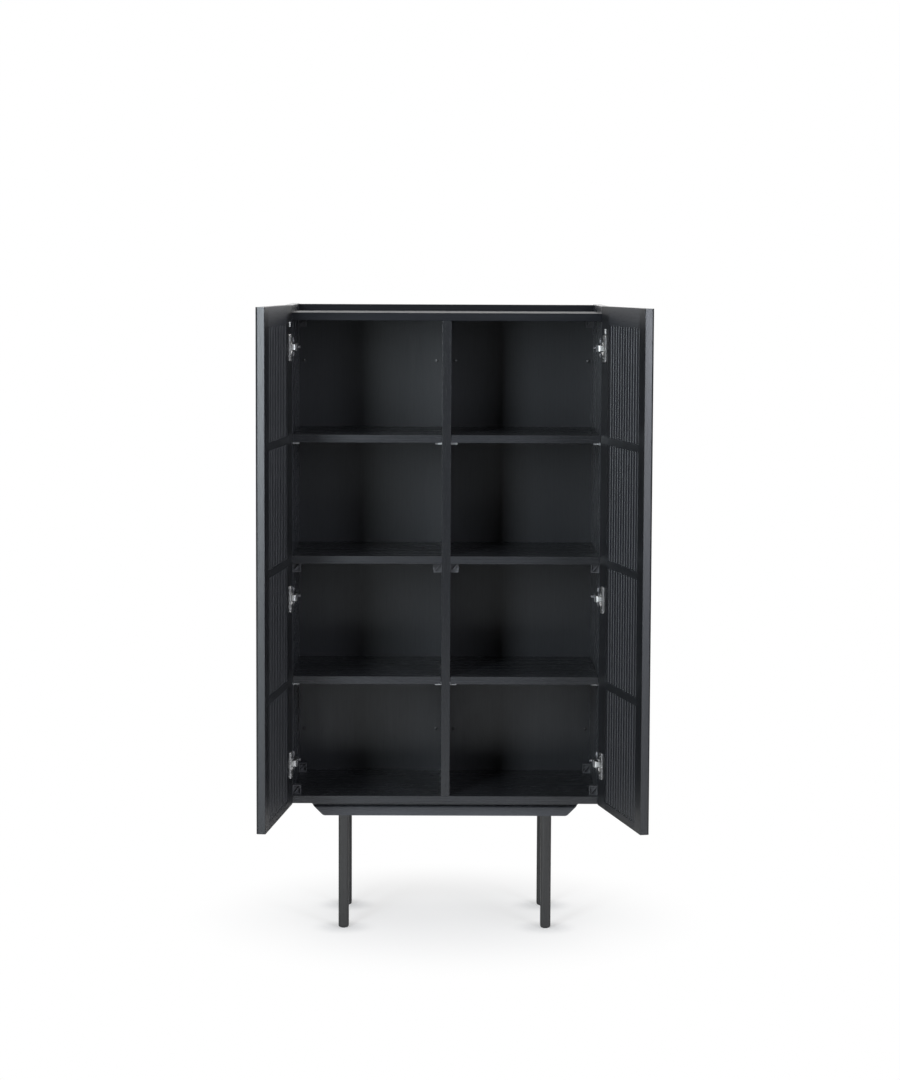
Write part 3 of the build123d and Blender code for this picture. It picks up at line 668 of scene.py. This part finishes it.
# ---- Slatted panels ----
# Upright slats of solid wood on both faces of each door panel, let in between stiles and rails.
# The first slat lies against the hinge stile, and an open groove is left beside the free stile.
def slat_tree():
    """A thin web with as many whole slats as its width takes, each with a grain of its own."""
    tree, given, made = new_tree("slatted_panel", {
        "Width": "Float", "Thickness": "Float", "Height": "Float", "Pitch": "Float",
        "Slat Width": "Float", "Groove Depth": "Float", "Edge Round": "Float",
        "Grain Seed": "Int", "Finish": "Material"})
    width, thickness, height, pitch, slat_width = (
        given[name] for name in ("Width", "Thickness", "Height", "Pitch", "Slat Width"))
    outline = add_node(tree, "GeometryNodeCurvePrimitiveQuadrilateral", {
        "Width": slat_width, "Height": thickness}, mode="RECTANGLE").outputs[0]
    outline = add_node(tree, "GeometryNodeFilletCurve", {
        "Curve": outline, "Radius": given["Edge Round"], "Count": 9}, mode="POLY").outputs[0]
    foot = add_node(tree, "GeometryNodeFillCurve", {"Curve": outline}, mode="NGONS").outputs[0]
    rise = add_node(tree, "GeometryNodeExtrudeMesh", {
        "Mesh": foot, "Offset": (0, 0, 1), "Offset Scale": height, "Individual": False},
        mode="FACES").outputs["Mesh"]
    under = add_node(tree, "GeometryNodeFlipFaces", {"Mesh": foot}).outputs[0]
    slat = add_node(tree, "GeometryNodeMergeByDistance", {
        "Geometry": joined(tree, under, rise), "Distance": 0.00002}).outputs[0]
    run = reckon(tree, "ADD", width, reckon(tree, "SUBTRACT", pitch, slat_width))
    count = reckon(tree, "FLOOR", reckon(tree, "DIVIDE", run, pitch))
    half_slat = reckon(tree, "MULTIPLY", slat_width, 0.5)
    half_thick = reckon(tree, "MULTIPLY", thickness, 0.5)
    line = add_node(tree, "GeometryNodeMeshLine", {
        "Count": count, "Start Location": xyz(tree, X=half_slat, Y=half_thick),
        "Offset": xyz(tree, X=pitch)}, mode="OFFSET").outputs[0]
    row = add_node(tree, "GeometryNodeInstanceOnPoints", {"Points": line, "Instance": slat}).outputs[0]
    number = add_node(tree, "FunctionNodeRandomValue", {"Seed": given["Grain Seed"]}, data_type="FLOAT")
    number.inputs["Max"].default_value = 40.0
    row = add_node(tree, "GeometryNodeStoreNamedAttribute", {
        "Geometry": row, "Name": "piece_number", "Value": number.outputs["Value"]},
        data_type="FLOAT", domain="INSTANCE").outputs[0]
    core = reckon(tree, "ADD", thickness, reckon(tree, "MULTIPLY", given["Groove Depth"], -2.0))
    web = add_node(tree, "GeometryNodeMeshCube", {
        "Size": xyz(tree, X=width, Y=core, Z=height)}).outputs["Mesh"]
    whole_size = xyz(tree, X=width, Y=thickness, Z=height)
    web = moved(tree, web, Translation=reckon_vector(tree, "MULTIPLY", whole_size, (0.5, 0.5, 0.5)))
    return finished(tree, given, made, joined(tree, web, row))


slats = slat_tree()
slat_wood = black_wood("black_slat_wood", "z", dark=0.014, light=0.020, gloss=0.40)
first_grain_seed = {"left": 10, "right": 20}
for side, place in doors.items():
    for number in (1, 2, 3, 4):
        node = f"{side}_door_slatted_panel_{number}"
        low, high = local_box(node, place.inverted())
        width, thickness, height = high - low
        panel = grown(node + "_slats", slats, bpy.data.meshes.new(node + "_start"), {
            "Width": width, "Thickness": thickness, "Height": height, "Pitch": 0.023,
            "Slat Width": 0.015, "Groove Depth": 0.006, "Edge Round": 0.0034,
            "Grain Seed": first_grain_seed[side] + number, "Finish": slat_wood})
        panel.data.transform(place @ Matrix.Translation(low))
        if place.determinant() < 0:
            panel.data.flip_normals()
        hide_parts(node)
        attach(panel, side + "_door")


# ---- Hinge cups ----
# Pressed steel cups let into the doors and nickel plated, each with a raised rim and two ears.
# Two screws hold each cup, and the arm's eye turns on a pin inside it.
nickel = metal("nickel_plate", (0.80, 0.79, 0.78), 0.42, worn=0.05)
cup_screw_steel = metal("dull_screw_steel", (0.20, 0.20, 0.20), 0.5)
finish_nodes(nickel, "left_door_hinge_cups", "right_door_hinge_cups")


def copies(name, template, places, finishes):
    """One mesh made of a template set down at each of its places, with its finishes in order."""
    whole = bmesh.new()
    for place in places:
        mesh = template.copy()
        mesh.transform(place)
        if place.determinant() < 0:
            mesh.flip_normals()
        whole.from_mesh(mesh)
        bpy.data.meshes.remove(mesh)
    mesh = bpy.data.meshes.new(name)
    whole.to_mesh(mesh)
    whole.free()
    for finish in finishes:
        mesh.materials.append(finish)
    return shaded(name, mesh)


def loft(name, rings):
    """A skin over rings of equal length, capped at both ends, with its faces pointing out."""
    shape = bmesh.new()
    rows = [[shape.verts.new(point) for point in ring] for ring in rings]
    count = len(rows[0])
    for here, there in zip(rows, rows[1:]):
        for i in range(count):
            j = (i + 1) % count
            shape.faces.new((here[i], here[j], there[j], there[i]))
    shape.faces.new(rows[0][::-1])
    shape.faces.new(rows[-1])
    bmesh.ops.recalc_face_normals(shape, faces=shape.faces)
    mesh = bpy.data.meshes.new(name)
    shape.to_mesh(mesh)
    shape.free()
    return mesh


def cup_rim():
    """Rim round the cup with an ear above and below, open towards the hinge edge for the arm."""
    rim, bore, ear_high, ear_low, ear_top, corner = 0.0186, 0.0168, 0.0185, -0.0040, 0.0330, 0.0050
    thin, thick, step_from, step_to = 0.0013, 0.0025, -0.0045, -0.0020
    gap_from, gap_to, cuts, halvings = -150, 150, 120, 24

    def within(u, z, inset):
        z = abs(z)
        if math.hypot(u, z) < rim - inset:
            return True
        if z > ear_top - inset or u > ear_high - inset or u < ear_low + inset:
            return False
        over_z = z - (ear_top - corner)
        over_u = max(u - (ear_high - corner), ear_low + corner - u)
        return over_z < 0 or over_u < 0 or math.hypot(over_u, over_z) < corner - inset

    def reach(u, z, inset):
        near, far = 0.0, 0.042
        for _ in range(halvings):
            middle = (near + far) / 2
            if within(middle * u, middle * z, inset):
                near = middle
            else:
                far = middle
        return near

    def stand(radius, u):
        share = min(1, max(0, (radius * u - step_from) / (step_to - step_from)))
        return thin + (thick - thin) * share * share * (3 - 2 * share)

    rings = []
    for cut in range(cuts + 1):
        angle = math.radians(gap_from + (gap_to - gap_from) * cut / cuts)
        u, z = math.cos(angle), math.sin(angle)
        edge = reach(u, z, 0)
        top, bore_top = stand(edge, u), stand(bore, u)
        curve = min(top - 0.0003, 0.75 * (edge - bore))
        profile = [(bore, 0.0006), (bore, 0.0005 - bore_top), (bore + 0.0003, -bore_top)]
        for turn in (0, 18, 36, 54, 72, 90):
            bend = math.radians(turn)
            profile.append((reach(u, z, curve * (1 - math.sin(bend))), -top + curve * (1 - math.cos(bend))))
        profile.append((edge, 0.0001))
        rings.append([(radius * u, v, radius * z) for radius, v in profile])
    return loft("cup_rim", rings)


cup_from_edge = 0.0225
cup_screw_head = screw_head(0.0038, 0.0028, 0.0024, 0.0008, 0.0018)
for side, place in doors.items():
    node = side + "_door_hinge_cups"
    cups = loose_boxes(node, place.inverted())
    seats = [Matrix.Translation((cup_from_edge, 0, (low.z + high.z) / 2)) for low, high in cups]
    rims = copies(side + "_door_cup_rims", cup_rim(), [place @ seat for seat in seats], [nickel])
    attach(rims, side + "_door")
    add_screws(side + "_door_cup_screws", side + "_door", (0, -1, 0), 0.0009, cup_screw_head,
               into=place.inverted(), finish=cup_screw_steel)


# ---- Hinge plates ----
# Pressed steel cross-shaped plates on the side panels, with a wing above and below for a screw.
# Each carries one hinge arm.
inner_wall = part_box("right_side_panel")[0].x
plate_levels = sorted({round((low.z + high.z) / 2, 5) for low, high in loose_boxes("hinge_plates")})
beside_wall = [
    Matrix(((-way, 0, 0, way * inner_wall), (0, 1, 0, cabinet_front), (0, 0, 1, level), (0, 0, 0, 1)))
    for way in (1, -1) for level in plate_levels]


def plate():
    """Cross-shaped plate with eased edges: x inwards from the wall, y back, z from its middle."""
    outline = [(14, 8.5), (15, 9.8), (29.5, 9.8), (31, 11.5), (31, 20), (32.5, 23.6), (35.5, 25), (38.5, 25),
               (41.5, 23.6), (43, 20), (43, 11.5), (44.5, 9.8), (59, 9.8), (60, 8.5)]
    outline += [(y, -z) for y, z in outline[::-1]]
    centre = 37
    rings = [[(x / 1000, (centre + (y - centre) * share) / 1000, z * share / 1000) for y, z in outline]
             for x, share in ((0.0, 1.0), (1.8, 1.0), (2.3, 0.985), (2.5, 0.95))]
    return loft("plate", rings)


plate_steel = metal("hinge_plate_steel", (0.17, 0.17, 0.175), 0.50)
plates = copies("hinge_pressed_plates", plate(), beside_wall, [plate_steel])
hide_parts("hinge_plates")
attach(plates, "carcass")
plate_screw_head = screw_head(0.0042, 0.0024, 0.0024, 0.0009, 0.0019)
plate_screw_steel = metal("plate_screw_steel", (0.42, 0.42, 0.42), 0.42)
add_screws("hinge_plate_screws", "carcass", None, 0.0016, plate_screw_head, finish=plate_screw_steel)


# ---- Hinge arms ----
# Pressed steel arms on the plates, wider at the top than at the foot, with two adjusting screws.
# The bent neck in front flares towards the arm and ends in the eye that turns on the cup's pin.
def arm_body():
    """Channel-shaped arm, each section given by its distance back, half widths, foot and crown."""
    rings = []
    for y, foot, web, low, high in (
            (1.0, 6.3, 9.0, 3.2, 11.8), (1.8, 6.8, 9.9, 2.6, 12.4), (3.0, 6.9, 10.0, 2.5, 12.5),
            (38.0, 6.9, 10.0, 2.5, 12.5), (48.0, 6.9, 9.2, 2.5, 12.2), (54.0, 6.4, 7.6, 2.5, 11.0),
            (57.0, 5.0, 5.6, 2.8, 9.0)):
        flare = low + (high - low) * 0.55
        half = [(low, foot), (flare, foot), (high - 1.0, web - 0.3), (high - 0.3, web - 0.05),
                (high, web - 0.9)]
        section = half + [(x, -z) for x, z in half[::-1]]
        rings.append([(x / 1000, y / 1000, z / 1000) for x, z in section])
    return loft("arm_body", rings)


def arm_neck():
    """Bent strip from the pin round to the arm, given by its middle line and half width, in millimetres."""
    half_thick, eased = 1.2, 0.5
    line = [(-11.5, -13.0, 6.3), (-9.0, -13.9, 6.4), (-6.5, -14.8, 6.5), (-3.5, -15.0, 6.6),
            (3.0, -15.0, 6.8), (6.0, -14.9, 7.0), (8.0, -14.1, 7.6), (9.2, -12.4, 8.4),
            (9.5, -10.0, 9.0), (9.5, -4.0, 9.4), (9.5, 4.5, 9.6)]
    rings = []
    for index, (x, y, half) in enumerate(line):
        before, after = line[max(0, index - 1)], line[min(len(line) - 1, index + 1)]
        along = Vector((after[0] - before[0], after[1] - before[1])).normalized()
        out = Vector((along.y, -along.x)) * half_thick
        section = [(1, half - eased), (0.6, half), (-0.6, half), (-1, half - eased),
                   (-1, eased - half), (-0.6, -half), (0.6, -half), (1, eased - half)]
        rings.append([((x + out.x * s) / 1000, (y + out.y * s) / 1000, z / 1000) for s, z in section])
    return loft("arm_neck", rings)


def turned_part(name, middle, profile, axis, steps=28):
    """A turned part: radius and distance along x or z, in millimetres, from its middle."""
    rings = []
    for radius, along in profile:
        ring = []
        for step in range(steps):
            a = 2 * math.pi * step / steps
            spin = (radius * math.cos(a), radius * math.sin(a))
            point = (along, spin[0], spin[1]) if axis == "x" else (spin[0], spin[1], along)
            ring.append(tuple((m + p) / 1000 for m, p in zip(middle, point)))
        rings.append(ring)
    return loft(name, rings)


def whole_arm():
    """The arm's pieces in one mesh. The neck takes the first finish and the rest the second."""
    neck = arm_neck()
    parts = [arm_body(), neck]
    parts.append(turned_part("eye", (-11.5, -13, 0), [
        (2.1, -6.5), (2.5, -6.1), (2.5, 6.1), (2.1, 6.5)], "z"))
    parts.append(turned_part("side_screw_collar", (12.5, 17, 0), [
        (4.4, -0.6), (4.4, 0.3), (4.0, 0.7), (3.4, 0.7), (3.2, 0.2)], "x"))
    parts.append(turned_part("cam_screw_post", (12.5, 44, 0), [
        (3.6, -1.0), (3.6, 4.4), (4.3, 4.6), (4.3, 5.6), (3.9, 6.1)], "x"))
    arm = bmesh.new()
    for part in parts:
        for face in part.polygons:
            face.material_index = 0 if part == neck else 1
        arm.from_mesh(part)
    mesh = bpy.data.meshes.new("whole_arm")
    arm.to_mesh(mesh)
    arm.free()
    return mesh


# The arm, its eye, posts and adjusting screws take a darker steel than the neck, a painted shade for the
# shade and dark reflections on the arm's front.
arm_painted_shade_steel = metal("hinge_arm_steel", (0.24, 0.24, 0.25), 0.46)
neck_steel = metal("hinge_neck_steel", (0.50, 0.50, 0.49), 0.46)
arms = copies("hinge_pressed_arms", whole_arm(), beside_wall, [neck_steel, arm_painted_shade_steel])
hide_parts("hinge_arms")
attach(arms, "carcass")
adjusting_seats = [Vector((0.0127, 0.017, 0)), Vector((0.0180, 0.044, 0))]
arm_screw_places = [wall @ seat for wall in beside_wall for seat in adjusting_seats]
arm_screw_ways = [wall.to_3x3() @ Vector((1, 0, 0)) for wall in beside_wall for _ in adjusting_seats]
arm_screws = grown("hinge_arm_adjusting_screws", screws, points_mesh(
    "arm_screw_places", arm_screw_places, arm_screw_ways), {
        **screw_head(0.0030, 0.0010, 0.0021, 0.0008, 0.0015), "Shank Length": 0.004,
        "Spin Seed": 31, "Finish": arm_painted_shade_steel})
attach(arm_screws, "carcass")


# ---- Felt pads ----
# A small pad of pressed pale felt on each door above its top hinge, stuck on to quieten it.
# Each has a rounded, slightly uneven face with short loose hairs standing on it.
def felt():
    """Matted wool: pale, rough and faintly mottled, with a soft sheen."""
    finish, tree, place = new_finish("pale_pressed_felt")
    matted = cloudy(tree, place, 900.0, 5.0, Distortion=1.5)
    tone = mixed(tree, matted, (0.42, 0.42, 0.41, 1), (0.66, 0.66, 0.64, 1))
    rough = ramp(tree, matted, 0.0, 1.0, 0.8, 1.0)
    shader = fill_finish(tree, tone, rough, matted, strength=0.8, distance=0.0003)
    shader["Sheen Weight"].default_value = 0.4
    return finish


def felt_tree():
    """Fine hairs scattered over a pad and tilted at random."""
    tree, given, made = new_tree("felt_pad", {
        "Hair Length": "Float", "Hair Radius": "Float", "Hairs Per Area": "Float",
        "Hair Seed": "Int", "Finish": "Material"})
    spread = add_node(tree, "GeometryNodeDistributePointsOnFaces", {
        "Mesh": given["Geometry"], "Density": given["Hairs Per Area"], "Seed": given["Hair Seed"]})
    hair = add_node(tree, "GeometryNodeMeshCone", {
        "Vertices": 3, "Side Segments": 2, "Radius Top": 0.0, "Radius Bottom": given["Hair Radius"],
        "Depth": given["Hair Length"]}).outputs["Mesh"]
    tilt = add_node(tree, "FunctionNodeRandomValue", {"Seed": given["Hair Seed"]}, data_type="FLOAT_VECTOR")
    tilt.inputs["Min"].default_value = (-1.2, -1.2, 0.0)
    tilt.inputs["Max"].default_value = (1.2, 1.2, 6.28)
    hairs = add_node(tree, "GeometryNodeInstanceOnPoints", {
        "Points": spread.outputs["Points"], "Instance": hair, "Rotation": spread.outputs["Rotation"]})
    hairs = add_node(tree, "GeometryNodeRotateInstances", {
        "Instances": hairs.outputs[0], "Rotation": tilt.outputs["Value"]}).outputs[0]
    return finished(tree, given, made, joined(tree, hairs, given["Geometry"]))


def pressed_pad(name, width, height, thick, seed, steps=48):
    """A cushion-edged pad with an uneven face: x and z across it, and y out of the door."""
    unevenness, face = 0.00009, 0.93 * thick
    rings = []
    for share, lift in ((1.0, 0.0), (1.0, 0.45), (0.97, 0.75), (0.90, 0.93), (0.76, 1.0), (0.50, 1.0),
                        (0.25, 1.0), (0.05, 1.0)):
        ring = []
        for step in range(steps):
            angle = 2 * math.pi * step / steps
            c, s = math.cos(angle), math.sin(angle)
            x = math.copysign(abs(c) ** 0.55, c) * width / 2 * share
            z = math.copysign(abs(s) ** 0.45, s) * height / 2 * share
            rough = noise.noise(Vector((x, z, seed * 0.01)) * 700) * unevenness
            ring.append((x + rough * c, -face * lift - (rough if lift > 0 else 0), z + rough * s))
        rings.append(ring)
    return loft(name, rings)


pale_felt = felt()
felt_growth = felt_tree()
pad_seeds = {"left": (1, 5), "right": (2, 6)}
for side, place in doors.items():
    node = side + "_door_felt_pad"
    low, high = local_box(node, place.inverted())
    width, thick, height = high - low
    face_seed, hair_seed = pad_seeds[side]
    start = pressed_pad(node + "_start", width, height, thick, face_seed)
    pad = grown(node + "_pressed", felt_growth, start, {
        "Hair Length": 0.0009, "Hair Radius": 0.00004, "Hairs Per Area": 2.4e6,
        "Hair Seed": hair_seed, "Finish": pale_felt}, sharp=60)
    pad.data.transform(place @ Matrix.Translation(((low.x + high.x) / 2, high.y, (low.z + high.z) / 2)))
    if place.determinant() < 0:
        pad.data.flip_normals()
    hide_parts(node)
    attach(pad, side + "_door")


low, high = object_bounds()
